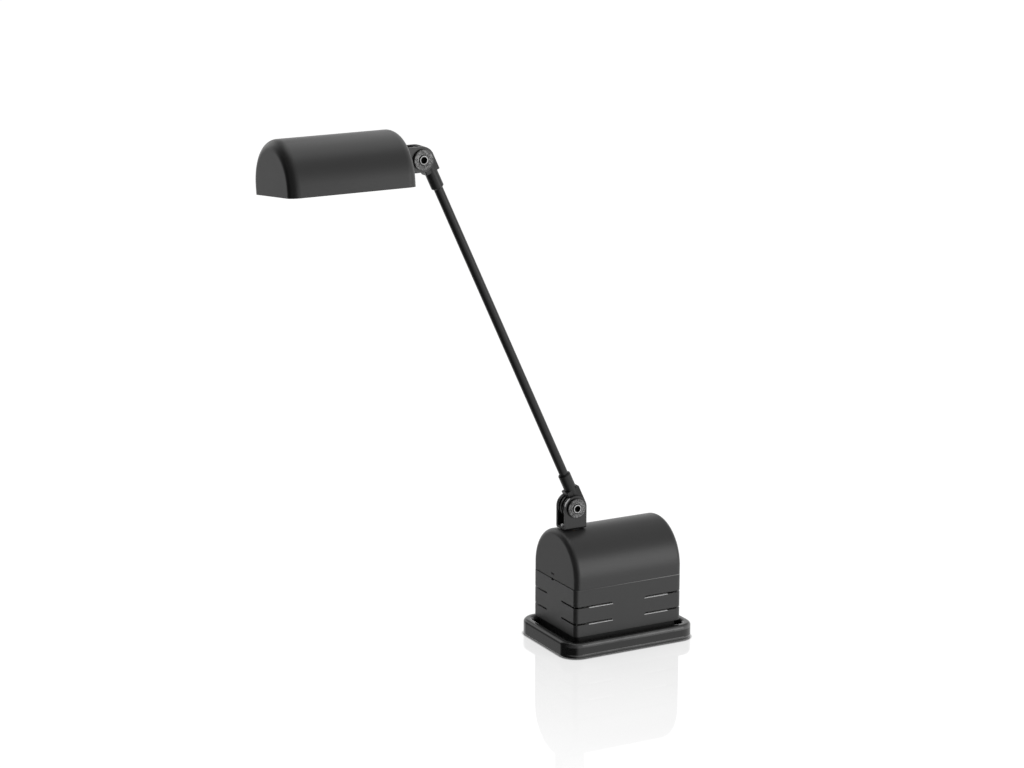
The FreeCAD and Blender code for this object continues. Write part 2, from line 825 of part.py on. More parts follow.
def switch_blades():
    blades = []
    back = housing_end - switch_body_depth
    for offset in (-switch_blade_pitch / 2, switch_blade_pitch / 2):
        blades.append(box(back - switch_blade_length, back, offset - switch_blade_thickness / 2,
                          offset + switch_blade_thickness / 2, switch_level - switch_blade_width / 2,
                          switch_level + switch_blade_width / 2))
    return blades


def switch_rocker():
    outline = [
        (-rocker_keel, -rocker_half_length / 2),
        (rocker_valley / 2, -rocker_half_length),
        (rocker_rise, -rocker_half_length),
        (rocker_valley, 0),
        (rocker_rise, rocker_half_length),
        (rocker_valley / 2, rocker_half_length),
        (-rocker_keel, rocker_half_length / 2),
    ]
    points = [FreeCAD.Vector(x, y, -rocker_half_width) for x, y in outline]
    key = Part.Face(Part.makePolygon(points + points[:1])).extrude(Z_AXIS * 2 * rocker_half_width)
    pin_reach = rocker_half_width + rocker_pin_length
    pin = rod(rocker_pin_radius, FreeCAD.Vector(0, 0, -pin_reach), Z_AXIS, 2 * pin_reach)
    rocker = fused([key, pin])
    rocker.rotate(ORIGIN, Z_AXIS, rocker_tilt)
    rocker.translate(rocker_pivot)
    return rocker


def cord_gland():
    wall_outside = FreeCAD.Vector(housing_end, 0, gland_level)
    wall_inside = wall_outside - X_AXIS * housing_wall
    catch_start = wall_inside - X_AXIS * gland_flange_thickness
    outer = rod(gland_flange_radius, wall_outside, X_AXIS, gland_flange_thickness)
    outer = outer.makeFillet(gland_flange_round, edges_at(outer, "X", housing_end + gland_flange_thickness))
    neck = rod(gland_neck_radius, wall_inside, X_AXIS, housing_wall)
    catch = rod(gland_flange_radius, catch_start, X_AXIS, gland_flange_thickness)
    whole = fused([catch, neck, outer])
    return whole.cut(rod(gland_bore_radius, catch_start, X_AXIS, housing_wall + 2 * gland_flange_thickness))


# Fork, drawn with its pivot at the origin along Y and its floor below
lead_hole_foot = FreeCAD.Vector(lead_hole_side - fork_half_width, 0, -fork_reach)


def fork():
    ears = []
    for y in (-fork_outer, fork_gap / 2):
        plate = box(-fork_half_width, fork_half_width, y, y + fork_sheet, -fork_reach, 0)
        crown = rod(fork_half_width, FreeCAD.Vector(0, y, 0), Y_AXIS, fork_sheet)
        ears.append(plate.fuse(crown))
    floor = box(-fork_half_width, fork_half_width, -fork_outer, fork_outer,
                -fork_reach, -fork_reach + fork_sheet)
    whole = fused(ears + [floor])
    side_edges = edges_at(whole, "Y", -fork_outer) + edges_at(whole, "Y", fork_outer)
    bends = [e for e in side_edges if e.BoundBox.ZMax < -fork_reach + same_place]
    whole = whole.makeFillet(fork_bend, bends)
    pivot_hole = FreeCAD.Vector(0, -fork_outer, 0)
    whole = whole.cut(rod(pivot_screw_radius + running_fit, pivot_hole, Y_AXIS, 2 * fork_outer))
    stud_hole = FreeCAD.Vector(0, 0, -fork_reach)
    whole = whole.cut(rod(stud_radius + running_fit, stud_hole, Z_AXIS, fork_sheet))
    return whole.cut(rod(lead_hole_radius, lead_hole_foot, Z_AXIS, fork_sheet))


def lead_terminal():
    """Domed terminal pressed into the fork's floor, where the lead from the transformer ends."""
    shank = rod(lead_hole_radius - running_fit, lead_hole_foot, Z_AXIS, fork_sheet)
    floor_top = lead_hole_foot + Z_AXIS * fork_sheet
    collar = rod(terminal_head_radius, floor_top, Z_AXIS, terminal_collar)
    dome = Part.makeSphere(terminal_head_radius, floor_top + Z_AXIS * terminal_collar)
    dome = dome.common(rod(terminal_head_radius, floor_top, Z_AXIS, terminal_collar + terminal_head_radius))
    return fused([shank, collar, dome])


# Swivel pieces, drawn in the fork's frame
def swivel_stud(grip):
    floor_top = -fork_reach + fork_sheet
    end = swivel_depths(grip)[2]
    head = rod(stud_head_radius, FreeCAD.Vector(0, 0, floor_top), Z_AXIS, stud_head_height)
    shank = rod(stud_radius, FreeCAD.Vector(0, 0, end), Z_AXIS, floor_top - end)
    stud = fused([head, shank])
    socket_foot = FreeCAD.Vector(0, 0, floor_top + stud_head_height - stud_socket_depth)
    return stud.cut(hexagon(stud_socket_across, socket_foot, Z_AXIS, stud_socket_depth))


def swivel_washers(grip):
    bore = stud_radius + running_fit
    upper = tube(swivel_washer_radius, bore, FreeCAD.Vector(0, 0, -fork_reach - swivel_washer_thickness),
                 Z_AXIS, swivel_washer_thickness)
    lower = tube(swivel_washer_radius, bore, FreeCAD.Vector(0, 0, swivel_depths(grip)[0]),
                 Z_AXIS, swivel_washer_thickness)
    return [upper, lower]


def swivel_spring(grip):
    """A coned disc spring: thin sheet whose rim stands above its bore."""
    bore = stud_radius + running_fit
    top = swivel_depths(grip)[0]
    half = spring_washer_thickness / 2
    points = [
        FreeCAD.Vector(bore, 0, top - spring_washer_thickness),
        FreeCAD.Vector(spring_washer_radius, 0, top - half),
        FreeCAD.Vector(spring_washer_radius, 0, top),
        FreeCAD.Vector(bore, 0, top - half),
    ]
    return Part.Face(Part.makePolygon(points + points[:1])).revolve(ORIGIN, Z_AXIS, 360)


def swivel_nut(grip):
    foot = FreeCAD.Vector(0, 0, swivel_depths(grip)[2])
    nut = hexagon(swivel_nut_across, foot, Z_AXIS, swivel_nut_height)
    return nut.cut(rod(stud_radius + running_fit, foot, Z_AXIS, swivel_nut_height))


def swivel_bush(neck, step):
    """Bush flush with a wall's outer face: full neck first, then a slimmer step in what backs the wall."""
    neck_foot = FreeCAD.Vector(0, 0, -pivot_to_wall - neck)
    step_foot = neck_foot - Z_AXIS * step
    body = rod(bush_radius, neck_foot, Z_AXIS, neck)
    tail = rod(bush_radius - bush_step, step_foot, Z_AXIS, step)
    return fused([body, tail]).cut(rod(stud_radius + running_fit, step_foot, Z_AXIS, neck + step))


# Pivot pieces, drawn in the fork's frame along Y
def pivot_screw():
    disc_face = -fork_outer - pivot_disc_thickness
    head_seat = disc_face + pivot_head_sink
    head_face = head_seat - pivot_head_height
    end = fork_outer + pivot_disc_thickness + pivot_nut_height + pivot_thread_end
    head = rod(pivot_head_radius, FreeCAD.Vector(0, head_face, 0), Y_AXIS, pivot_head_height)
    head = head.makeFillet(pivot_head_round, edges_at(head, "Y", head_face))
    shank = rod(pivot_screw_radius, FreeCAD.Vector(0, head_seat, 0), Y_AXIS, end - head_seat)
    socket = hexagon(pivot_socket_across, FreeCAD.Vector(0, head_face, 0), Y_AXIS, pivot_socket_depth)
    return fused([head, shank]).cut(socket)


def pivot_discs():
    discs = []
    for side in (-1, 1):
        inner_face = side * fork_outer
        outer_face = side * (fork_outer + pivot_disc_thickness)
        start = FreeCAD.Vector(0, min(inner_face, outer_face), 0)
        disc = rod(pivot_disc_radius, start, Y_AXIS, pivot_disc_thickness)
        disc = disc.makeChamfer(pivot_disc_chamfer, edges_at(disc, "Y", outer_face))
        disc = disc.cut(rod(pivot_screw_radius + running_fit, start, Y_AXIS, pivot_disc_thickness))
        if side < 0:
            sink = rod(pivot_head_radius + pivot_head_clearance, FreeCAD.Vector(0, outer_face, 0),
                       Y_AXIS, pivot_head_sink)
            disc = disc.cut(sink)
        discs.append(disc)
    return discs


def pivot_nut():
    seat = FreeCAD.Vector(0, fork_outer + pivot_disc_thickness, 0)
    nut = hexagon(pivot_nut_across, seat, Y_AXIS, pivot_nut_height)
    return nut.cut(rod(pivot_screw_radius + running_fit, seat, Y_AXIS, pivot_nut_height))


def friction_washers():
    washers = []
    for low in (-fork_gap / 2, fork_gap / 2 - friction_washer_thickness):
        washers.append(tube(friction_washer_radius, pivot_screw_radius + running_fit,
                            FreeCAD.Vector(0, low, 0), Y_AXIS, friction_washer_thickness))
    return washers


# Knuckle for the arm's foot, drawn in the arm's frame with its pivot at the origin
def grooved_eye():
    """Eye with grooves round it, so that its lands are as wide as each other."""
    eye = rod(knuckle_eye_radius, FreeCAD.Vector(0, -knuckle_width / 2, 0), Y_AXIS, knuckle_width)
    land = (knuckle_width - eye_groove_count * eye_groove_width) / (eye_groove_count + 1)
    for step in range(eye_groove_count):
        start = FreeCAD.Vector(0, -knuckle_width / 2 + land + step * (land + eye_groove_width), 0)
        eye = eye.cut(tube(knuckle_eye_radius + cut_margin, knuckle_eye_radius - eye_groove_depth,
                           start, Y_AXIS, eye_groove_width))
    return eye


def knuckle():
    half = knuckle_width / 2
    eye = grooved_eye()
    web = box(-knuckle_front, knuckle_rear, -half, half, 0, knuckle_shoulder)
    solid = fused([eye, web])
    solid = solid.makeFillet(knuckle_edge_round, edges_at(solid, "Y", -half) + edges_at(solid, "Y", half))
    sleeve_foot = FreeCAD.Vector(arm_offset, 0, friction_washer_radius + sleeve_washer_gap)
    sleeve = rod(sleeve_radius, sleeve_foot, Z_AXIS, sleeve_length - sleeve_foot.z)
    sleeve = sleeve.makeChamfer(sleeve_end_chamfer, edges_at(sleeve, "Z", sleeve_length))
    solid = fused([solid, sleeve])
    bore_foot = FreeCAD.Vector(arm_offset, 0, sleeve_length - arm_insertion)
    solid = solid.cut(rod(arm_tube_radius + running_fit, bore_foot, Z_AXIS, arm_insertion))
    lead_foot = FreeCAD.Vector(arm_offset, 0, sleeve_length - arm_insertion - conductor_end)
    jacket_radius = conductor_radius + conductor_jacket_wall
    solid = solid.cut(rod(jacket_radius + running_fit, lead_foot, Z_AXIS, conductor_end))
    eye_bore = pivot_screw_radius + running_fit + pivot_bush_wall + running_fit
    return solid.cut(rod(eye_bore, FreeCAD.Vector(0, -half, 0), Y_AXIS, knuckle_width))


def pivot_bush():
    inner = pivot_screw_radius + running_fit
    start = FreeCAD.Vector(0, -knuckle_width / 2, 0)
    return tube(inner + pivot_bush_wall, inner, start, Y_AXIS, knuckle_width)


tube_foot = sleeve_length - arm_insertion
tube_head = arm_pitch - tube_foot


def arm_tube():
    start = FreeCAD.Vector(arm_offset, 0, tube_foot)
    return tube(arm_tube_radius, arm_tube_radius - arm_tube_wall, start, Z_AXIS, tube_head - tube_foot)


def inner_conductor():
    start = FreeCAD.Vector(arm_offset, 0, tube_foot - conductor_end)
    return rod(conductor_radius, start, Z_AXIS, tube_head - tube_foot + 2 * conductor_end)


def conductor_jacket():
    start = FreeCAD.Vector(arm_offset, 0, tube_foot - conductor_end)
    return tube(conductor_radius + conductor_jacket_wall, conductor_radius + running_fit / 2, start, Z_AXIS,
                tube_head - tube_foot + 2 * conductor_end)


def conductor_spacers():
    """Insulating rings that centre the jacketed conductor in both ends of the tube."""
    outer = arm_tube_radius - arm_tube_wall - running_fit
    inner = conductor_radius + conductor_jacket_wall + running_fit / 2
    rings = []
    for start in (tube_foot, tube_head - arm_insertion / 2):
        rings.append(tube(outer, inner, FreeCAD.Vector(arm_offset, 0, start), Z_AXIS, arm_insertion / 2))
    return rings


# Head, drawn level and unrolled with the upper pivot at the origin, reaching towards -X
rear_face = -pivot_to_wall
shade_foot = -shade_below_pivot
shade_inner_face = rear_face - shade_wall
carrier_face = shade_inner_face - carrier_thickness
swivel_grip = shade_wall + carrier_thickness
holder_rear = swivel_depths(swivel_grip)[2] - seat_gap
holder_front = holder_rear - lamp_holder_length
holder_middle = (holder_rear + holder_front) / 2
holder_low = carrier_leg_level - lamp_holder_height
capsule_level = carrier_leg_level - capsule_drop
reflector_rear = holder_front - seat_gap


def shade():
    shell = vault_shell(shade_length, shade_width, shade_height, shade_end_round, shade_wall,
                        rear_face - shade_length, shade_foot)
    hole = FreeCAD.Vector(shade_inner_face - cut_margin, 0, 0)
    shell = shell.cut(rod(bush_radius + running_fit, hole, X_AXIS, shade_wall + 2 * cut_margin))
    hole_x = shade_inner_face - cut_margin
    for side in (-1, 1):
        hole = FreeCAD.Vector(hole_x, side * carrier_screw_offset, -carrier_screw_drop)
        shell = shell.cut(rod(small_screw_radius + running_fit, hole, X_AXIS, shade_wall + 2 * cut_margin))
    return shell


def lamp_carrier():
    plate = box(carrier_face, shade_inner_face, -carrier_plate_width / 2, carrier_plate_width / 2,
                -carrier_plate_drop, carrier_leg_level + carrier_thickness)
    leg = box(holder_front, shade_inner_face, -carrier_leg_width / 2, carrier_leg_width / 2,
              carrier_leg_level, carrier_leg_level + carrier_thickness)
    whole = fused([plate, leg])
    step_radius = bush_radius - bush_step + running_fit
    whole = whole.cut(rod(step_radius, FreeCAD.Vector(carrier_face, 0, 0), X_AXIS, carrier_thickness))
    for side in (-1, 1):
        hole = FreeCAD.Vector(carrier_face, side * carrier_screw_offset, -carrier_screw_drop)
        whole = whole.cut(rod(small_screw_radius + running_fit, hole, X_AXIS, carrier_thickness))
    screw_foot = FreeCAD.Vector(holder_middle, 0, carrier_leg_level)
    return whole.cut(rod(small_screw_radius + running_fit, screw_foot, Z_AXIS, carrier_thickness))


def carrier_screws():
    """Two button screws through the shade's rear wall, and one that holds the lamp holder."""
    screws = []
    for side in (-1, 1):
        seat = FreeCAD.Vector(rear_face, side * carrier_screw_offset, -carrier_screw_drop)
        head = rod(small_screw_head_radius, seat, X_AXIS, carrier_screw_head_height)
        shank = rod(small_screw_radius, seat - X_AXIS * swivel_grip, X_AXIS, swivel_grip)
        screws.append(fused([head, shank]))
    holder_seat = carrier_leg_level + carrier_thickness
    screws.append(small_screw(holder_middle, 0, holder_seat, carrier_leg_level - holder_screw_depth))
    return screws


def lamp_holder():
    block = box(holder_front, holder_rear, -lamp_holder_width / 2, lamp_holder_width / 2,
                holder_low, carrier_leg_level)
    block = block.makeFillet(lamp_holder_round, edges_along(block, "X", lamp_holder_length))
    for side in (-1, 1):
        hole = FreeCAD.Vector(holder_front, side * pin_pitch / 2, capsule_level)
        block = block.cut(rod(pin_radius + pin_clearance, hole, X_AXIS, pin_length))
    screw_foot = FreeCAD.Vector(holder_middle, 0, carrier_leg_level - holder_screw_depth)
    return block.cut(rod(small_screw_radius + running_fit, screw_foot, Z_AXIS, holder_screw_depth))


capsule_base = holder_front - capsule_seat_gap


def halogen_capsule():
    """Quartz envelope: pinched foot, cylindrical body and rounded nose with a tip."""
    pinch = box(capsule_base - capsule_neck_length, capsule_base,
                -capsule_pinch_width / 2, capsule_pinch_width / 2,
                capsule_level - capsule_pinch_thickness / 2, capsule_level + capsule_pinch_thickness / 2)
    body_start = capsule_base - capsule_neck_length + capsule_pinch_overlap
    body_length = capsule_length - capsule_neck_length
    body_end = FreeCAD.Vector(body_start - body_length, 0, capsule_level)
    body = rod(capsule_radius, body_end, X_AXIS, body_length)
    body = body.makeFillet(capsule_nose_round, edges_at(body, "X", body_end.x))
    tip = Part.makeSphere(capsule_tip_radius, body_end)
    return fused([pinch, body, tip])


def capsule_pins():
    pins = []
    for side in (-1, 1):
        start = FreeCAD.Vector(capsule_base, side * pin_pitch / 2, capsule_level)
        pins.append(rod(pin_radius, start, X_AXIS, pin_length))
    return pins


def reflector():
    inset = shade_wall + reflector_air_gap
    length = shade_length - shade_wall - reflector_end_gap - (rear_face - reflector_rear)
    nose = reflector_rear - length
    foot = shade_foot + reflector_mouth_recess
    height = shade_height - inset - reflector_mouth_recess
    trough = vault_shell(length, shade_width - 2 * inset, height, shade_end_round - reflector_air_gap,
                         reflector_sheet, nose, foot)
    flange_outer = shade_width / 2 - shade_wall - seat_gap
    flange_inner = shade_width / 2 - inset - reflector_sheet
    pieces = [trough]
    for side in (-1, 1):
        ys = sorted((side * flange_inner, side * flange_outer))
        pieces.append(box(nose + shade_end_round, reflector_rear - cut_margin, ys[0], ys[1],
                          foot, foot + reflector_sheet))
    whole = fused(pieces)
    window = FreeCAD.Vector(reflector_rear - reflector_sheet - cut_margin, 0, capsule_level)
    return whole.cut(rod(reflector_window_radius, window, X_AXIS, reflector_sheet + 2 * cut_margin))


def closing_plate():
    """Plate that closes the wiring space between the shade's rear wall and the reflector."""
    half = shade_width / 2 - shade_wall - seat_gap
    back = shade_inner_face - seat_gap
    front = reflector_rear + closing_plate_gap
    low = shade_foot + reflector_mouth_recess
    plate = box(front, back, -half, half, low, low + closing_plate_thickness)
    upright = edges_along(plate, "Z", closing_plate_thickness)
    rear_corners = [e for e in upright if e.BoundBox.XMin > back - same_place]
    return plate.makeFillet(shade_end_round, rear_corners)


# Base, standing on the table
save("base_tray", base_tray())
save("anti_slip_pad", anti_slip_pad())
save("plinth", plinth())
save("lower_housing", lower_housing())
save("chassis_plate", chassis_plate())
save("base_screws", *base_screws())
save("base_nuts", *base_nuts())
save("top_cover", top_cover())
save("cover_latches", *cover_latches())
save("stem_bracket", stem_bracket())
save("chassis_screws", *chassis_screws())
save("transformer_core", transformer_core())
save("transformer_bobbin", transformer_bobbin())
save("transformer_winding", transformer_winding())
save("transformer_clamp", transformer_clamp())
save("terminal_block", terminal_block())
save("terminal_screws", *terminal_screws())
save("fuse_holder", fuse_holder())
save("fuse", fuse())
save("switch_body", switch_body())
save("switch_blades", *switch_blades())
save("switch_rocker", switch_rocker())
save("cord_gland", cord_gland())
save("base_swivel_bush", at_lower_pivot(swivel_bush(bracket_depth_below_ridge, bracket_thickness)))

# Lower fork, which turns on the base
save("base_fork", at_lower_pivot(fork()))
save("base_lead_terminal", at_lower_pivot(lead_terminal()))
save("base_swivel_stud", at_lower_pivot(swivel_stud(base_grip)))
save("base_swivel_washers", *[at_lower_pivot(w) for w in swivel_washers(base_grip)])
save("base_swivel_spring", at_lower_pivot(swivel_spring(base_grip)))
save("base_swivel_nut", at_lower_pivot(swivel_nut(base_grip)))
save("lower_pivot_screw", at_lower_pivot(pivot_screw()))
save("lower_pivot_discs", *[at_lower_pivot(d) for d in pivot_discs()])
save("lower_pivot_nut", at_lower_pivot(pivot_nut()))
save("lower_friction_washers", *[at_lower_pivot(w) for w in friction_washers()])

# Arm
save("lower_knuckle", on_arm(knuckle()))
save("lower_pivot_bush", on_arm(pivot_bush()))
save("arm_tube", on_arm(arm_tube()))
save("inner_conductor", on_arm(inner_conductor()))
save("conductor_jacket", on_arm(conductor_jacket()))
save("conductor_spacers", *[on_arm(r) for r in conductor_spacers()])
save("upper_knuckle", on_arm(arm_top(knuckle())))
save("upper_pivot_bush", on_arm(arm_top(pivot_bush())))

# Upper fork, which tilts on the arm
save("head_fork", fork_towards_head(fork()))
save("head_swivel_stud", fork_towards_head(swivel_stud(swivel_grip)))
save("head_swivel_washers", *[fork_towards_head(w) for w in swivel_washers(swivel_grip)])
save("head_swivel_spring", fork_towards_head(swivel_spring(swivel_grip)))
save("head_swivel_nut", fork_towards_head(swivel_nut(swivel_grip)))
save("upper_pivot_screw", fork_towards_head(pivot_screw()))
save("upper_pivot_discs", *[fork_towards_head(d) for d in pivot_discs()])
save("upper_pivot_nut", fork_towards_head(pivot_nut()))
save("upper_friction_washers", *[fork_towards_head(w) for w in friction_washers()])

# Head, which rolls on the upper fork
save("shade", on_head(shade()))
save("head_swivel_bush", swivel_on_head(swivel_bush(shade_wall, carrier_thickness)))
save("lamp_carrier", on_head(lamp_carrier()))
save("carrier_screws", *[on_head(s) for s in carrier_screws()])
save("lamp_holder", on_head(lamp_holder()))
save("halogen_capsule", on_head(halogen_capsule()))
save("capsule_pins", *[on_head(p) for p in capsule_pins()])
save("reflector", on_head(reflector()))
save("closing_plate", on_head(closing_plate()))
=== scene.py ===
import json
import math

import bmesh
import bpy
from mathutils import Matrix, Vector


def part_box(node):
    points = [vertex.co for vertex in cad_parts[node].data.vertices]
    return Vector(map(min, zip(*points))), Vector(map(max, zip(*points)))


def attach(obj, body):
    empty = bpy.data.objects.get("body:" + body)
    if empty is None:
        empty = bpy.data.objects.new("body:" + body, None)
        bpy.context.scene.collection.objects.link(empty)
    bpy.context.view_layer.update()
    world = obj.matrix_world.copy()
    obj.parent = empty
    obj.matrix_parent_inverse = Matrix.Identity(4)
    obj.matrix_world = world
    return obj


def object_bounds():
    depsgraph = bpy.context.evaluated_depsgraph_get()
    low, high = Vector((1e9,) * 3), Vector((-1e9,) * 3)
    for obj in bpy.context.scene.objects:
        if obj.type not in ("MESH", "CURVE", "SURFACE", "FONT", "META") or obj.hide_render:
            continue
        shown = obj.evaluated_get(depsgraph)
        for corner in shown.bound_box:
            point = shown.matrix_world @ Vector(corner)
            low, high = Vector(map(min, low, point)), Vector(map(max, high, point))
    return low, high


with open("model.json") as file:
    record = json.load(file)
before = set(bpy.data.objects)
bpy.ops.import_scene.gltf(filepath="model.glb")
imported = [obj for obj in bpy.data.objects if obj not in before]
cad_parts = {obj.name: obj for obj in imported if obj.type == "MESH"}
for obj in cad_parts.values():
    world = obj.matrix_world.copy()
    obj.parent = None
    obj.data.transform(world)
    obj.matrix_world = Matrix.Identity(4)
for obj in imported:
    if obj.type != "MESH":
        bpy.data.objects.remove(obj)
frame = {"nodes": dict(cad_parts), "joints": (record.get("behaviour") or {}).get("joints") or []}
cad_low, cad_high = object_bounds()

# Places read from the frame, in metres
joint_named = {joint["name"]: joint for joint in frame["joints"]}
upper_pivot = Vector(joint_named["head_tilt"]["pos_m"])
lower_pivot = Vector(joint_named["arm_tilt"]["pos_m"])
rocker_pivot = Vector(joint_named["switch_rock"]["pos_m"])
roll_axis = Vector(joint_named["head_roll"]["axis"])

# Pivot screws' heads, as in the solids
socket_corner = 0.00242
ring_inner = 0.0029
ring_radius = 0.0034
screw_head_radius = 0.0037

# The forks' near ears are further than this from the pivot's middle
near_ear_past = 0.0028

# Housing's cooling slots, walls and top edge, as in the solids, and where the painted highlight on the
# slots' lower lips runs
slot_feet = (0.0262, 0.0406)
lip_highlight_inner = 0.0158
lip_highlight_outer = 0.0375
lip_highlight_height = 0.00045
long_wall_inside = 0.0335
end_wall_outside = 0.0513
corner_start = 0.0316
housing_top = 0.0563

# Tray's foot bead, and the band of painted highlight on the rim
foot_bead_level = 0.0030
foot_bead_height = 0.0022
foot_bead_depth = 0.00022
rim_highlight_low = 0.0102
rim_highlight_high = 0.0128

# Rocker key's valley and ends, from its pin, as in the solids
rocker_valley = 0.0044
rocker_rise = 0.0060
rocker_half_length = 0.0066
rocker_tilt = math.radians(10)

# Rocker's marks
mark_half = 0.0013
mark_wire_radius = 0.00022
ring_sides = 32

# Capsule's filament and posts
filament_length = 0.0042
filament_radius = 0.0007
filament_turns = 12
filament_sides = 12
filament_setback = 0.001
filament_wire_radius = 0.00012
post_pitch = 0.0046
post_reach = 0.011
post_knee_share = 0.8
post_wire_radius = 0.0002

# Camera, fitted to the photograph's edges
camera_lens = 96.195
camera_sensor = 36.0
camera_near = 0.05
camera_far = 100.0
camera_place = Vector((-1.1173, -1.8940, 0.7634))
camera_azimuth = math.radians(-28.437)
camera_elevation = math.radians(13.931)
camera_tilt = math.radians(0.098)

# Directions: level towards the camera, level to the camera's right, and up
camera_side = Vector((math.sin(camera_azimuth), -math.cos(camera_azimuth), 0))
right_side = Vector((math.cos(camera_azimuth), math.sin(camera_azimuth), 0))
upwards = Vector((0, 0, 1))

# Studio: white all round but for a dark side, which lies between the camera and its left
dark_side_turn = math.radians(55)
dark_side = camera_side * math.cos(dark_side_turn) - right_side * math.sin(dark_side_turn)
dark_side_inner = 0.60
dark_side_outer = 0.14
dark_level = 0.06
low_white = 1.0
high_white = 0.55
white_ends = 0.30
high_starts = 0.62

# Floor: pale, with a fading mirror image and a painted contact shadow, a dark line where the part
# touches it
floor_radius = 30.0
floor_sides = 96
floor_grey = 0.34
floor_glow = 0.875
floor_bounce = 0.8
contact_reach = 0.0022
contact_sharpness = 3.0
contact_samples = 8
mirror_strength = 0.235
mirror_full_radius = 0.04
mirror_gone_radius = 0.50

# Most of a noise's values lie between these
noise_low = 0.3
noise_high = 0.7


# Shader nodes
def feed(tree, socket, given):
    """Give an input a value or another node's output."""
    if isinstance(given, bpy.types.NodeSocket):
        tree.links.new(given, socket)
    else:
        socket.default_value = given


def add_node(tree, kind, inputs=None, **settings):
    node = tree.nodes.new(kind)
    for name, value in settings.items():
        setattr(node, name, value)
    for name, value in (inputs or {}).items():
        feed(tree, node.inputs[name], value)
    return node


def map_range(tree, value, low, high, to_low, to_high, smooth=False):
    kind = "SMOOTHSTEP" if smooth else "LINEAR"
    inputs = {"Value": value, "From Min": low, "From Max": high, "To Min": to_low, "To Max": to_high}
    return add_node(tree, "ShaderNodeMapRange", inputs, interpolation_type=kind).outputs["Result"]


def rise(tree, value, low, high):
    """0 up to low and 1 from high on."""
    return map_range(tree, value, low, high, 0.0, 1.0)


def fall(tree, value, low, high, smooth=False):
    """1 up to low and 0 from high on."""
    return map_range(tree, value, low, high, 1.0, 0.0, smooth)


def follow(tree, noise, low, high, starts=noise_low, ends=noise_high):
    """A value that goes from low to high as a noise goes from starts to ends."""
    return map_range(tree, noise, starts, ends, low, high)


def math_node(tree, operation, first, second=0.0, clamp=False):
    return add_node(tree, "ShaderNodeMath", {0: first, 1: second}, operation=operation,
                    use_clamp=clamp).outputs["Value"]


def unsigned(tree, value):
    return math_node(tree, "ABSOLUTE", value)


def product(tree, first, *others):
    """Values or masks multiplied together."""
    result = first
    for other in others:
        result = math_node(tree, "MULTIPLY", result, other)
    return result


def window(tree, value, low, high, soft):
    """1 between low and high, and 0 past them by more than soft."""
    return product(tree, rise(tree, value, low - soft, low), fall(tree, value, high, high + soft))


def vector_node(tree, operation, *vectors):
    return add_node(tree, "ShaderNodeVectorMath", dict(enumerate(vectors)), operation=operation).outputs


def dot_product(tree, first, second):
    return vector_node(tree, "DOT_PRODUCT", first, second)["Value"]


def split(tree, vector):
    """A vector's X, Y and Z."""
    return add_node(tree, "ShaderNodeSeparateXYZ", {"Vector": vector}).outputs


def from_axis(tree, place, pivot):
    """Distance from a pivot's axis, which runs along Y."""
    offset = vector_node(tree, "SUBTRACT", place, tuple(pivot))["Vector"]
    flat = vector_node(tree, "MULTIPLY", offset, (1.0, 0.0, 1.0))["Vector"]
    return vector_node(tree, "LENGTH", flat)["Value"]


def own_normal(tree):
    return add_node(tree, "ShaderNodeNewGeometry").outputs["Normal"]


def edge_mask(tree, radius, gain):
    """About 1 on sharp edges, where the normal rounded over a small radius leaves the surface's own."""
    rounded = add_node(tree, "ShaderNodeBevel", {"Radius": radius}, samples=4).outputs["Normal"]
    together = dot_product(tree, rounded, own_normal(tree))
    mask = math_node(tree, "SUBTRACT", 1.0, together)
    return math_node(tree, "MULTIPLY", mask, gain, clamp=True), rounded


def bumped(tree, height, depth, rounded=None):
    """The normal with bumps in it, on top of a given normal if there is one."""
    inputs = {"Height": height, "Distance": depth, "Strength": 1.0}
    if rounded is not None:
        inputs["Normal"] = rounded
    return add_node(tree, "ShaderNodeBump", inputs).outputs["Normal"]


def noise_at(tree, place, size, detail=2.0, roughness=0.5):
    """Noise whose features are about as large as size, in metres."""
    inputs = {"Vector": place, "Scale": 1.0 / size, "Detail": detail, "Roughness": roughness}
    return add_node(tree, "ShaderNodeTexNoise", inputs).outputs["Fac"]


def mix_colours(tree, factor, first, second):
    colour_inputs = {0: factor, 6: first, 7: second}
    return add_node(tree, "ShaderNodeMix", colour_inputs, data_type="RGBA").outputs[2]


def mix_shaders(tree, factor, first, second):
    inputs = {0: factor, 1: first.outputs[0], 2: second.outputs[0]}
    return add_node(tree, "ShaderNodeMixShader", inputs)


def grey(level):
    return (level, level, level, 1.0)


def shade_of(colour, factor):
    return tuple(channel * factor for channel in colour[:3]) + (1.0,)


# Light and world
def soft_light(name, place, target, width, height, radiance):
    """A rectangular panel that faces its target."""
    light = bpy.data.lights.new(name, "AREA")
    light.shape = "RECTANGLE"
    light.size = width
    light.size_y = height
    light.energy = radiance * math.pi * width * height
    holder = bpy.data.objects.new(name, light)
    bpy.context.scene.collection.objects.link(holder)
    holder.location = place
    holder.rotation_mode = "QUATERNION"
    holder.rotation_quaternion = (target - place).to_track_quat("-Z", "Y")


def offset(right, near, up):
    """A step to the camera's right, towards the camera and up, in metres."""
    return right_side * right + camera_side * near + upwards * up


def studio_lights():
    """A panel beside the base, one behind the left and one over the head's back."""
    base_middle = Vector((0, 0, 0.06))
    beside = offset(right=0.90, near=0.56, up=0.36)
    soft_light("soft_right", beside, base_middle, width=0.60, height=0.72, radiance=1.5)
    middle = (cad_low + cad_high) / 2
    behind = middle + offset(right=-1.1, near=-1.0, up=0.8 - middle.z)
    soft_light("soft_left", behind, middle, width=0.8, height=0.9, radiance=0.5)
    head_low, head_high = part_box("shade")
    head_middle = (head_low + head_high) / 2
    over = head_middle + offset(right=0.08, near=-0.14, up=0.38)
    soft_light("soft_top", over, head_middle, width=0.40, height=0.56, radiance=0.80)


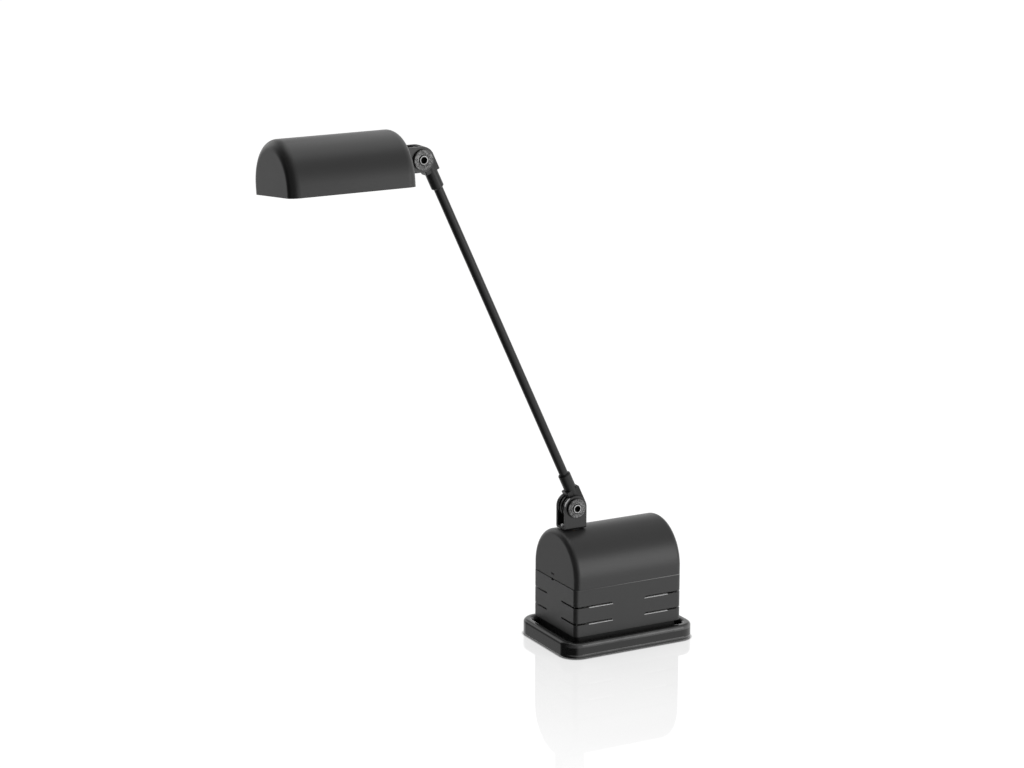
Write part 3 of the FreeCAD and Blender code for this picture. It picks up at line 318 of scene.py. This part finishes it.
def studio_level(tree, direction):
    """Level of the studio in a direction: white, less so from above, but for the dark side."""
    height = split(tree, direction)["Z"]
    white = map_range(tree, height, white_ends, high_starts, low_white, high_white, smooth=True)
    facing = dot_product(tree, direction, dark_side)
    return map_range(tree, facing, dark_side_outer, dark_side_inner, white, dark_level, smooth=True)


def build_world():
    """White to the camera and through glass; to the surfaces white but for the dark side."""
    world = bpy.data.worlds.new("studio")
    bpy.context.scene.world = world
    world.use_nodes = True
    tree = world.node_tree
    tree.nodes.clear()
    direction = add_node(tree, "ShaderNodeTexCoord").outputs["Generated"]
    strength = studio_level(tree, direction)
    studio = add_node(tree, "ShaderNodeBackground", {"Color": grey(1.0), "Strength": strength})
    white = add_node(tree, "ShaderNodeBackground", {"Color": grey(1.0), "Strength": 1.0})
    path = add_node(tree, "ShaderNodeLightPath").outputs
    seen = math_node(tree, "MAXIMUM", path["Is Camera Ray"], path["Is Transmission Ray"])
    mixed = mix_shaders(tree, seen, studio, white)
    add_node(tree, "ShaderNodeOutputWorld", {"Surface": mixed.outputs[0]})


def floor_material():
    """Pale and mirroring to the camera, with a painted contact shadow, clear to reflections, and plain
    to the rest of the light.
    """
    material = bpy.data.materials.new("studio_floor")
    material.use_nodes = True
    tree = material.node_tree
    tree.nodes.clear()
    place = add_node(tree, "ShaderNodeTexCoord").outputs["Object"]
    radius = vector_node(tree, "LENGTH", place)["Value"]
    lit = add_node(tree, "ShaderNodeBsdfDiffuse", {"Color": grey(floor_grey)})
    # Painted contact shadow: the glow dims where the ambient occlusion finds the part close by
    open_share = add_node(tree, "ShaderNodeAmbientOcclusion", {"Distance": contact_reach},
                          samples=contact_samples).outputs["AO"]
    glow_with_contact_shadow = product(tree, math_node(tree, "POWER", open_share, contact_sharpness), floor_glow)
    glow = add_node(tree, "ShaderNodeEmission", {"Color": grey(1.0), "Strength": glow_with_contact_shadow})
    pale = add_node(tree, "ShaderNodeAddShader", {0: lit.outputs[0], 1: glow.outputs[0]})
    mirror = add_node(tree, "ShaderNodeBsdfGlossy", {"Color": grey(1.0), "Roughness": 0.0})
    fade = map_range(tree, radius, mirror_full_radius, mirror_gone_radius, mirror_strength, 0.0)
    shown = mix_shaders(tree, fade, pale, mirror)
    passed = add_node(tree, "ShaderNodeBsdfTransparent", {"Color": grey(1.0)})
    bounced = add_node(tree, "ShaderNodeBsdfDiffuse", {"Color": grey(floor_bounce)})
    path = add_node(tree, "ShaderNodeLightPath").outputs
    unseen = mix_shaders(tree, path["Is Glossy Ray"], bounced, passed)
    whole = mix_shaders(tree, path["Is Camera Ray"], unseen, shown)
    add_node(tree, "ShaderNodeOutputMaterial", {"Surface": whole.outputs[0]})
    return material


def build_floor():
    mesh = bpy.data.meshes.new("floor")
    shape = bmesh.new()
    bmesh.ops.create_circle(shape, cap_ends=True, segments=floor_sides, radius=floor_radius)
    shape.to_mesh(mesh)
    shape.free()
    floor = bpy.data.objects.new("floor", mesh)
    bpy.context.scene.collection.objects.link(floor)
    mesh.materials.append(floor_material())


def build_camera():
    data = bpy.data.cameras.new("camera")
    data.lens = camera_lens
    data.sensor_width = camera_sensor
    data.clip_start = camera_near
    data.clip_end = camera_far
    camera = bpy.data.objects.new("camera", data)
    bpy.context.scene.collection.objects.link(camera)
    back = camera_side * math.cos(camera_elevation) + upwards * math.sin(camera_elevation)
    level_up = back.cross(right_side)
    right = right_side * math.cos(camera_tilt) + level_up * math.sin(camera_tilt)
    up = level_up * math.cos(camera_tilt) - right_side * math.sin(camera_tilt)
    turn = Matrix((right, up, back)).transposed()
    camera.rotation_mode = "QUATERNION"
    camera.rotation_quaternion = turn.to_quaternion()
    camera.location = camera_place
    bpy.context.scene.camera = camera


# Kinds of finish
class Finish:
    """A material with one surface; place is the point shaded, in the piece's own frame."""

    def __init__(self, name):
        self.material = bpy.data.materials.new(name)
        self.material.use_nodes = True
        self.tree = self.material.node_tree
        self.tree.nodes.clear()
        self.place = add_node(self.tree, "ShaderNodeTexCoord").outputs["Object"]
        self.surface = add_node(self.tree, "ShaderNodeBsdfPrincipled")
        add_node(self.tree, "ShaderNodeOutputMaterial", {"Surface": self.surface.outputs[0]})

    def cover(self, tone, roughness, normal, metallic=0.0):
        inputs = {"Base Color": tone, "Roughness": roughness, "Normal": normal, "Metallic": metallic}
        for name, given in inputs.items():
            feed(self.tree, self.surface.inputs[name], given)

    def lay_over(self, mask, colour):
        """Lay a colour over the finish's own where the mask is 1."""
        base_colour = self.surface.inputs["Base Color"]
        tone = base_colour.links[0].from_socket
        self.tree.links.new(mix_colours(self.tree, mask, tone, colour), base_colour)


def coated(name, colour, roughness, grain, grain_depth, mottle=0.15, patch=0.02, edge_radius=0.0003,
           edge_colour=None, edge_gain=1.5, metallic=0.0, specular=0.5, rough_spread=0.06):
    """Paint, plastic or plated metal: fine grain, broad tone variation and lighter edges."""
    finish = Finish(name)
    tree = finish.tree
    fine = noise_at(tree, finish.place, grain, detail=3.0, roughness=0.6)
    broad = noise_at(tree, finish.place, patch, detail=4.0)
    tone = mix_colours(tree, broad, shade_of(colour, 1 - mottle), shade_of(colour, 1 + mottle))
    specks = follow(tree, fine, 0.0, 0.5, starts=0.35)
    tone = mix_colours(tree, specks, tone, shade_of(colour, 1 + 2 * mottle))
    edges, rounded = edge_mask(tree, edge_radius, edge_gain)
    if edge_colour is not None:
        broken = product(tree, edges, follow(tree, broad, 0.35, 1.0, ends=0.6))
        tone = mix_colours(tree, broken, tone, edge_colour)
    spread = follow(tree, fine, roughness - rough_spread, roughness + rough_spread)
    finish.cover(tone, spread, bumped(tree, fine, grain_depth, rounded), metallic)
    finish.surface.inputs["Specular IOR Level"].default_value = specular
    return finish


def striped(name, light, dark, roughness, direction, period, depth, metallic):
    """Stacked sheets or wound wire: fine bands along one axis, with broad tone variation."""
    finish = Finish(name)
    tree = finish.tree
    period_at_scale_one = math.pi / 10
    inputs = {"Vector": finish.place, "Scale": period_at_scale_one / period, "Distortion": 0.4,
              "Detail": 2.0, "Detail Scale": 40.0}
    bands = add_node(tree, "ShaderNodeTexWave", inputs, wave_type="BANDS",
                     bands_direction=direction).outputs["Fac"]
    broad = noise_at(tree, finish.place, 0.008, detail=4.0)
    tone = mix_colours(tree, bands, dark, light)
    patches = follow(tree, broad, 0.0, 0.5, starts=0.35)
    tone = mix_colours(tree, patches, tone, shade_of(dark, 1.2))
    rough_spread = 0.08
    spread = follow(tree, broad, roughness - rough_spread, roughness + rough_spread)
    finish.cover(tone, spread, bumped(tree, bands, depth), metallic)
    return finish


def clear_glass(name, tint):
    """Drawn glass with slight waves."""
    finish = Finish(name)
    tree = finish.tree
    waves = noise_at(tree, finish.place, 0.004, detail=3.0)
    wave_depth = 0.00004
    tone = mix_colours(tree, waves, tint, shade_of(tint, 0.97))
    finish.cover(tone, follow(tree, waves, 0.01, 0.05), bumped(tree, waves, wave_depth))
    finish.surface.inputs["Transmission Weight"].default_value = 1.0
    finish.surface.inputs["IOR"].default_value = 1.46
    return finish


def hammered(name, colour):
    """Bright aluminium with shallow round dimples."""
    finish = Finish(name)
    tree = finish.tree
    dimple_size = 0.0034
    dimple_depth = 0.0005
    inputs = {"Vector": finish.place, "Scale": 1 / dimple_size, "Smoothness": 0.6}
    dimples = add_node(tree, "ShaderNodeTexVoronoi", inputs, feature="SMOOTH_F1").outputs["Distance"]
    fine = noise_at(tree, finish.place, 0.0008)
    tone = mix_colours(tree, fine, shade_of(colour, 0.92), colour)
    roughness = follow(tree, fine, 0.14, 0.26)
    finish.cover(tone, roughness, bumped(tree, dimples, dimple_depth), metallic=1.0)
    return finish


# Finishes with wear, a tone, or painted light and shade in places of their own
body_coat = dict(roughness=0.38, grain=0.00045, grain_depth=0.00003, mottle=0.10, patch=0.03,
                 edge_colour=grey(0.07))


def housing_paint(name):
    """Body paint, with a painted highlight on the slots' lower lips, along the top edge and on the end
    faces' corner lines, and painted light making the end faces paler.
    """
    finish = coated(name, grey(0.0245), specular=0.6, **body_coat)
    tree = finish.tree
    x, y, z = split(tree, finish.place)
    from_middle = unsigned(tree, x)
    off_axis = unsigned(tree, y)
    wall_fade = 0.0002
    on_long_side = rise(tree, off_axis, long_wall_inside - wall_fade, long_wall_inside)

    # Painted highlight: a light band on the lower lip of each slot on the long sides
    lip_highlight_overlap = 0.00003
    lip_highlight_fade = 0.00005
    lip_highlight_end_fade = 0.0008
    lip_highlights = [window(tree, z, foot - lip_highlight_height, foot + lip_highlight_overlap, lip_highlight_fade) for foot in slot_feet]
    both_lip_highlights = math_node(tree, "ADD", lip_highlights[0], lip_highlights[1])
    along_slot_highlight = window(tree, from_middle, lip_highlight_inner, lip_highlight_outer, lip_highlight_end_fade)
    finish.lay_over(product(tree, both_lip_highlights, along_slot_highlight, on_long_side), grey(0.80))

    # Painted highlight along the top edge of the long sides, brighter towards +X
    edge_reach = 0.0005
    edge_fade = 0.0001
    top_edge_highlight = window(tree, z, housing_top - edge_reach, housing_top + edge_fade, edge_fade)
    highlight_starts = -0.034
    highlight_ends = 0.050
    highlight_growing = map_range(tree, x, highlight_starts, highlight_ends, 0.05, 0.45)
    finish.lay_over(product(tree, top_edge_highlight, on_long_side, highlight_growing), grey(0.7))

    # Painted light: the end faces are laid over a paler tone
    on_end = rise(tree, from_middle, end_wall_outside - 0.0003, end_wall_outside - 0.0001)
    finish.lay_over(product(tree, on_end, 0.9), grey(0.072))
    # Painted highlight: a thin light line on the end face where the corner's rounding starts
    corner_highlight_fade = 0.0003
    corner_highlight = window(tree, off_axis, corner_start - 0.0001, corner_start + 0.0003, corner_highlight_fade)
    finish.lay_over(product(tree, corner_highlight, on_end), grey(0.12))
    return finish


def shell_paint(name, specular, painted_end_level):
    """Body paint, with painted light and shade on the end faces: a tone of their own laid over them."""
    finish = coated(name, grey(0.024), specular=specular, **body_coat)
    tree = finish.tree
    # Painted light and shade: the end faces take the given tone, paler on the cover, darker on the shade
    endwise = unsigned(tree, split(tree, own_normal(tree))["X"])
    finish.lay_over(rise(tree, endwise, 0.8, 0.97), grey(painted_end_level))
    return finish


def tray_enamel(name):
    """Glossy black enamel, with a faint bead round the foot, and a painted highlight, broken up by
    noise, on the bead and the rim.
    """
    finish = coated(name, grey(0.0075), roughness=0.09, grain=0.0022, grain_depth=0.000006, mottle=0.2,
                    edge_radius=0.0004, specular=0.55, rough_spread=0.02)
    tree = finish.tree
    z = split(tree, finish.place)["Z"]
    sideways = unsigned(tree, split(tree, own_normal(tree))["Y"])
    on_long_side = rise(tree, sideways, 0.35, 0.7)
    from_bead = unsigned(tree, math_node(tree, "SUBTRACT", z, foot_bead_level))
    bead = product(tree, fall(tree, from_bead, 0.0, foot_bead_height / 2, smooth=True), on_long_side)
    normal = finish.surface.inputs["Normal"]
    grained = normal.links[0].from_socket
    tree.links.new(bumped(tree, bead, foot_bead_depth, grained), normal)
    # Painted highlight: light lines on the foot bead and on the rim along the long sides
    rim_highlight_fade = 0.0008
    rim_highlight = window(tree, z, rim_highlight_low, rim_highlight_high, rim_highlight_fade)
    highlight_lines = math_node(tree, "ADD", bead, rim_highlight, clamp=True)
    highlight_breakup = follow(tree, noise_at(tree, finish.place, 0.02, detail=3.0), 0.35, 1.0, ends=0.65)
    finish.lay_over(product(tree, highlight_lines, on_long_side, highlight_breakup), grey(0.13))
    return finish


def fork_steel(name, pivot, discs, crown_highlight):
    """Black steel, with a painted shadow ring on the ear round the disc, and a painted highlight on the
    near ear's crown where it faces the light.
    """
    finish = coated(name, grey(0.012), roughness=0.32, grain=0.0005, grain_depth=0.00002, mottle=0.2,
                    patch=0.01, edge_radius=0.0004, edge_colour=grey(0.16), edge_gain=2.0, specular=0.6)
    tree = finish.tree
    # Painted highlight on the near ear's crown, on faces turned towards the light
    highlight_direction = (-0.81, 0.0, 0.59)
    turned = dot_product(tree, own_normal(tree), highlight_direction)
    facing = rise(tree, turned, 0.90, 0.96)
    ear_side = pivot.y - near_ear_past
    ear_fade = 0.0004
    near = fall(tree, split(tree, finish.place)["Y"], ear_side - ear_fade, ear_side)
    finish.lay_over(product(tree, facing, near, crown_highlight), grey(0.9))
    # Painted shadow: a nearly black ring on the ear round the disc, where the gap's shade falls
    disc_low, disc_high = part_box(discs)
    disc_radius = (disc_high.z - disc_low.z) / 2
    shade_ring_reach = 0.0004
    shade_ring_fade = 0.0007
    radius = from_axis(tree, finish.place, pivot)
    painted_shade_ring = window(tree, radius, 0.0, disc_radius + shade_ring_reach, shade_ring_fade)
    finish.lay_over(painted_shade_ring, grey(0.001))
    return finish


def ringed_screw(name, pivot, brightness):
    """Black screw whose head is worn bright in a ring round its dark socket."""
    finish = Finish(name)
    tree = finish.tree
    fine = noise_at(tree, finish.place, 0.0004, detail=3.0)
    broad = noise_at(tree, finish.place, 0.002, detail=3.0)
    radius = from_axis(tree, finish.place, pivot)
    socket_margin = 0.0002
    past_socket = rise(tree, radius, socket_corner + socket_margin, ring_inner)
    within_ring = fall(tree, radius, ring_radius, screw_head_radius)
    worn = product(tree, past_socket, within_ring, follow(tree, broad, 0.5, 1.0, ends=0.6))
    dark = mix_colours(tree, fine, grey(0.001), grey(0.004))
    tone = mix_colours(tree, worn, dark, grey(brightness))
    roughness = map_range(tree, worn, 0.0, 1.0, 0.55, 0.34)
    grain_depth = 0.00002
    finish.cover(tone, roughness, bumped(tree, fine, grain_depth), metallic=1.0)
    return finish


def mottled_disc(name):
    """Dark coated discs, worn to light specks on their flat faces, with painted shade on their rims."""
    finish = Finish(name)
    tree = finish.tree
    specks = noise_at(tree, finish.place, 0.00055, detail=3.0, roughness=0.7)
    patches = noise_at(tree, finish.place, 0.003, detail=3.0)
    both = product(tree, specks, follow(tree, patches, 0.85, 1.15))
    worn = rise(tree, both, 0.45, 0.60)
    tone = mix_colours(tree, worn, grey(0.03), grey(0.33))
    edges, rounded = edge_mask(tree, radius=0.0003, gain=1.4)
    tone = mix_colours(tree, edges, tone, grey(0.16))
    # Painted shade: the discs' rims are laid over nearly black
    sideways = unsigned(tree, split(tree, own_normal(tree))["Y"])
    shaded_rim = fall(tree, sideways, 0.3, 0.8)
    tone = mix_colours(tree, shaded_rim, tone, grey(0.003))
    roughness = map_range(tree, worn, 0.0, 1.0, 0.5, 0.34)
    grain_depth = 0.00006
    finish.cover(tone, roughness, bumped(tree, specks, grain_depth, rounded), metallic=0.35)
    return finish


# Coats by slot, with sizes in metres
slot_coats = {
    "body_paint": dict(colour=(0.024, 0.024, 0.0245, 1.0), specular=0.6, **body_coat),
    "arm_paint": dict(colour=grey(0.009), roughness=0.34, grain=0.0004, grain_depth=0.00002,
                      patch=0.015, edge_colour=grey(0.06), specular=0.42),
    "screw_black": dict(colour=grey(0.02), roughness=0.30, grain=0.0004, grain_depth=0.00002, mottle=0.3,
                        patch=0.003, edge_radius=0.0004, edge_colour=grey(0.35), edge_gain=2.4,
                        metallic=0.6),
    "pad_rubber": dict(colour=grey(0.02), roughness=0.85, grain=0.0006, grain_depth=0.00015, mottle=0.3,
                       specular=0.3),
    "plinth_plastic": dict(colour=grey(0.012), roughness=0.55, grain=0.0008, grain_depth=0.00003),
    "gland_rubber": dict(colour=grey(0.014), roughness=0.7, grain=0.0005, grain_depth=0.00004,
                         specular=0.35),
    "switch_plastic": dict(colour=grey(0.012), roughness=0.28, grain=0.0006, grain_depth=0.00001,
                           edge_radius=0.0004, edge_colour=grey(0.05)),
    "slip_plastic": dict(colour=grey(0.014), roughness=0.45, grain=0.0006, grain_depth=0.00002),
    "block_plastic": dict(colour=(0.66, 0.66, 0.60, 1.0), roughness=0.4, grain=0.0008,
                          grain_depth=0.00002),
    "bobbin_plastic": dict(colour=(0.55, 0.50, 0.36, 1.0), roughness=0.5, grain=0.0007,
                           grain_depth=0.00003),
    "jacket_plastic": dict(colour=grey(0.02), roughness=0.45, grain=0.0006, grain_depth=0.00002),
    "holder_ceramic": dict(colour=(0.80, 0.77, 0.70, 1.0), roughness=0.65, grain=0.0005,
                           grain_depth=0.00006, mottle=0.06),
    "zinc_steel": dict(colour=(0.55, 0.56, 0.55, 1.0), roughness=0.32, grain=0.0008,
                       grain_depth=0.00002, mottle=0.12, patch=0.006, edge_colour=grey(0.75),
                       metallic=1.0),
    "spring_steel": dict(colour=(0.34, 0.34, 0.36, 1.0), roughness=0.28, grain=0.0006,
                         grain_depth=0.00002, mottle=0.12, patch=0.005, edge_colour=grey(0.6),
                         metallic=1.0),
    "brass": dict(colour=(0.66, 0.46, 0.18, 1.0), roughness=0.30, grain=0.0007, grain_depth=0.00002,
                  mottle=0.12, patch=0.005, edge_colour=(0.85, 0.68, 0.38, 1.0), metallic=1.0),
    "conductor_copper": dict(colour=(0.62, 0.28, 0.14, 1.0), roughness=0.35, grain=0.0006,
                             grain_depth=0.00002, metallic=1.0),
}

# Coats of single pieces that differ from their slot's
# Tinned lead, near white so that it shows as a bright dot: partly its own tone, partly a painted
# highlight
tinned_lead_glint = dict(colour=grey(0.93), roughness=0.3, grain=0.0008, grain_depth=0.00002, mottle=0.05,
                   edge_colour=grey(0.95), metallic=0.15)
latch_black = dict(colour=grey(0.004), roughness=0.5, grain=0.0006, grain_depth=0.00002)


def slot_materials():
    """Materials by slot, for the pieces that have none of their own."""
    finishes = {name: coated(name, **coat) for name, coat in slot_coats.items()}
    finishes["tray_enamel"] = tray_enamel("tray_enamel")
    finishes["disc_steel"] = mottled_disc("disc_steel")
    finishes["core_steel"] = striped("core_steel", grey(0.20), grey(0.05), roughness=0.42,
                                     direction="Y", period=0.0005, depth=0.00008, metallic=0.7)
    copper = (0.62, 0.25, 0.10, 1.0)
    dark_copper = (0.22, 0.07, 0.03, 1.0)
    finishes["winding_copper"] = striped("winding_copper", copper, dark_copper, roughness=0.32,
                                         direction="Z", period=0.0007, depth=0.00015, metallic=0.8)
    finishes["fuse_glass"] = clear_glass("fuse_glass", (0.93, 0.95, 0.94, 1.0))
    finishes["capsule_glass"] = clear_glass("capsule_glass", (0.96, 0.97, 0.98, 1.0))
    finishes["reflector_aluminium"] = hammered("reflector_aluminium", (0.80, 0.80, 0.81, 1.0))
    return {name: finish.material for name, finish in finishes.items()}


def piece_materials():
    """Materials by piece, for the pieces that have one of their own."""
    finishes = {
        "lower_pivot_screw": ringed_screw("lower_screw_black", lower_pivot, brightness=0.55),
        "upper_pivot_screw": ringed_screw("upper_screw_black", upper_pivot, brightness=0.38),
        "base_lead_terminal": coated("tinned_lead_glint", **tinned_lead_glint),
        "cover_latches": coated("latch_black", **latch_black),
        "shade": shell_paint("shade_paint", specular=0.5, painted_end_level=0.002),
        "top_cover": shell_paint("cover_paint", specular=0.6, painted_end_level=0.040),
        "lower_housing": housing_paint("housing_paint"),
        "base_fork": fork_steel("lower_fork_steel", lower_pivot, "lower_pivot_discs", crown_highlight=1.0),
        "head_fork": fork_steel("upper_fork_steel", upper_pivot, "upper_pivot_discs", crown_highlight=0.0),
    }
    return {name: finish.material for name, finish in finishes.items()}


def dress_frame(by_slot, by_piece):
    """Each solid keeps its shape and takes its own finish or that of the slot that it came with."""
    for name, node in frame["nodes"].items():
        for slot in node.material_slots:
            slot_name = slot.material.name.split(".")[0]
            slot.material = by_piece[name] if name in by_piece else by_slot[slot_name]


# Pieces that the solids leave plain
def wire(name, runs, radius, material, body):
    """Round wires or rings through lists of points, closed where the flag says so."""
    data = bpy.data.curves.new(name, "CURVE")
    data.dimensions = "3D"
    data.bevel_depth = radius
    data.bevel_resolution = 3
    data.use_fill_caps = True
    for points, closed in runs:
        line = data.splines.new("POLY")
        line.points.add(len(points) - 1)
        for point, place in zip(line.points, points):
            point.co = (*place, 1.0)
        line.use_cyclic_u = closed
    data.materials.append(material)
    piece = bpy.data.objects.new(name, data)
    bpy.context.scene.collection.objects.link(piece)
    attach(piece, body)


def build_filament(metal, post_metal):
    """Coiled filament across the capsule, between two posts that run along the head's roll axis."""
    low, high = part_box("halogen_capsule")
    middle = (low + high) / 2
    forward = -roll_axis.normalized()
    across = forward.cross(upwards).normalized()
    upward = across.cross(forward)
    coil_middle = middle - forward * filament_setback
    coil_start = coil_middle - across * filament_length / 2
    steps = filament_turns * filament_sides
    coil = []
    for step in range(steps + 1):
        angle = 2 * math.pi * step / filament_sides
        around = forward * math.cos(angle) + upward * math.sin(angle)
        coil.append(coil_start + across * filament_length * step / steps + around * filament_radius)
    posts = []
    for end, side in ((coil[0], -1), (coil[-1], 1)):
        foot = coil_middle + across * side * post_pitch / 2 - forward * post_reach
        knee = foot + forward * post_reach * post_knee_share
        posts.append(([foot, knee, end], False))
    wire("capsule_filament", [(coil, False)], filament_wire_radius, metal, "head")
    wire("capsule_posts", posts, post_wire_radius, post_metal, "head")


def build_rocker_marks(material):
    """A bar on one half of the key and a ring on the other, both a little proud of the face."""
    slope = Vector((rocker_rise - rocker_valley, rocker_half_length, 0)).normalized()
    bar_middle = Vector(((rocker_valley + rocker_rise) / 2, -rocker_half_length / 2, 0))
    bar = [bar_middle - upwards * mark_half, bar_middle + upwards * mark_half]
    ring_middle = Vector((bar_middle.x, -bar_middle.y, 0))
    ring = []
    for step in range(ring_sides):
        angle = 2 * math.pi * step / ring_sides
        ring.append(ring_middle + (slope * math.cos(angle) + upwards * math.sin(angle)) * mark_half)
    turn = Matrix.Rotation(rocker_tilt, 3, "Z")
    marks = []
    for points, closed in ((bar, False), (ring, True)):
        marks.append(([rocker_pivot + turn @ point for point in points], closed))
    wire("rocker_marks", marks, mark_wire_radius, material, "switch")


bpy.context.scene.view_settings.view_transform = "Standard"
materials = slot_materials()
dress_frame(materials, piece_materials())
build_filament(materials["spring_steel"], materials["zinc_steel"])
build_rocker_marks(materials["block_plastic"])
build_camera()
build_world()
build_floor()
studio_lights()
